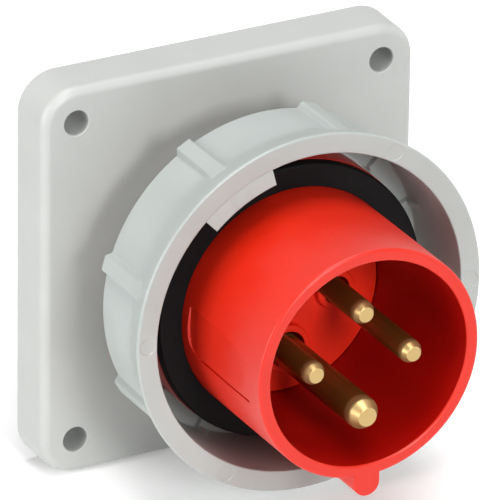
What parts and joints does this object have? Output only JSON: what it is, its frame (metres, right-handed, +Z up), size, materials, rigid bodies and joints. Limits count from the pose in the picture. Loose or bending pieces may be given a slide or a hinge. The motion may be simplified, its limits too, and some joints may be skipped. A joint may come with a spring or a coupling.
{
  "type": "pin and sleeve inlet",
  "caption": "Panel-mounted pin and sleeve inlet with a square flange, a red shroud round brass pins, a face seal and a turning bayonet locking ring with grip ribs.",
  "frame": {"origin": "centre of the four bolt holes on the flange's back face", "axes": "-Y out of the inlet's mouth, +Y into the panel, +Z up, key at the bottom"},
  "size_m": [0.088, 0.0985, 0.089],
  "materials": {
    "grey_housing": "fine satin moulding, light grey",
    "grey_ring": "smooth semi-gloss moulding, light grey",
    "red_insulation": "smooth moulding, signal red",
    "black_insulation": "fine satin moulding, black",
    "black_rubber": "matt rubber, black",
    "contact_brass": "turned and polished",
    "zinc_steel": "bright zinc plate",
    "spring_steel": "plain spring steel"
  },
  "bodies": {
    "inlet": {"mounting_flange": "grey_housing", "pin_sleeve": "red_insulation", "contact_carrier": "red_insulation", "terminal_block": "black_insulation", "face_seal": "black_rubber", "sleeve_seal": "black_rubber", "carrier_seal": "black_rubber", "panel_seal": "black_rubber", "retaining_clip": "spring_steel", "sleeve_screws": "zinc_steel", "carrier_screw": "zinc_steel", "phase_terminal_screws": "zinc_steel", "earth_terminal_screw": "zinc_steel", "phase_pin_1": "contact_brass", "phase_pin_2": "contact_brass", "phase_pin_3": "contact_brass", "earth_pin": "contact_brass", "phase_clamp_plate_1": "spring_steel", "phase_clamp_plate_2": "spring_steel", "phase_clamp_plate_3": "spring_steel", "earth_clamp_plate": "spring_steel"},
    "ring": {"locking_ring": "grey_ring"}
  },
  "joints": [
    {"name": "ring_turn", "type": "hinge", "parent": "inlet", "child": "ring", "pos_m": [0, -0.02645, 0], "axis": [0, 1, 0], "range_deg": [0, 45]}
  ]
}
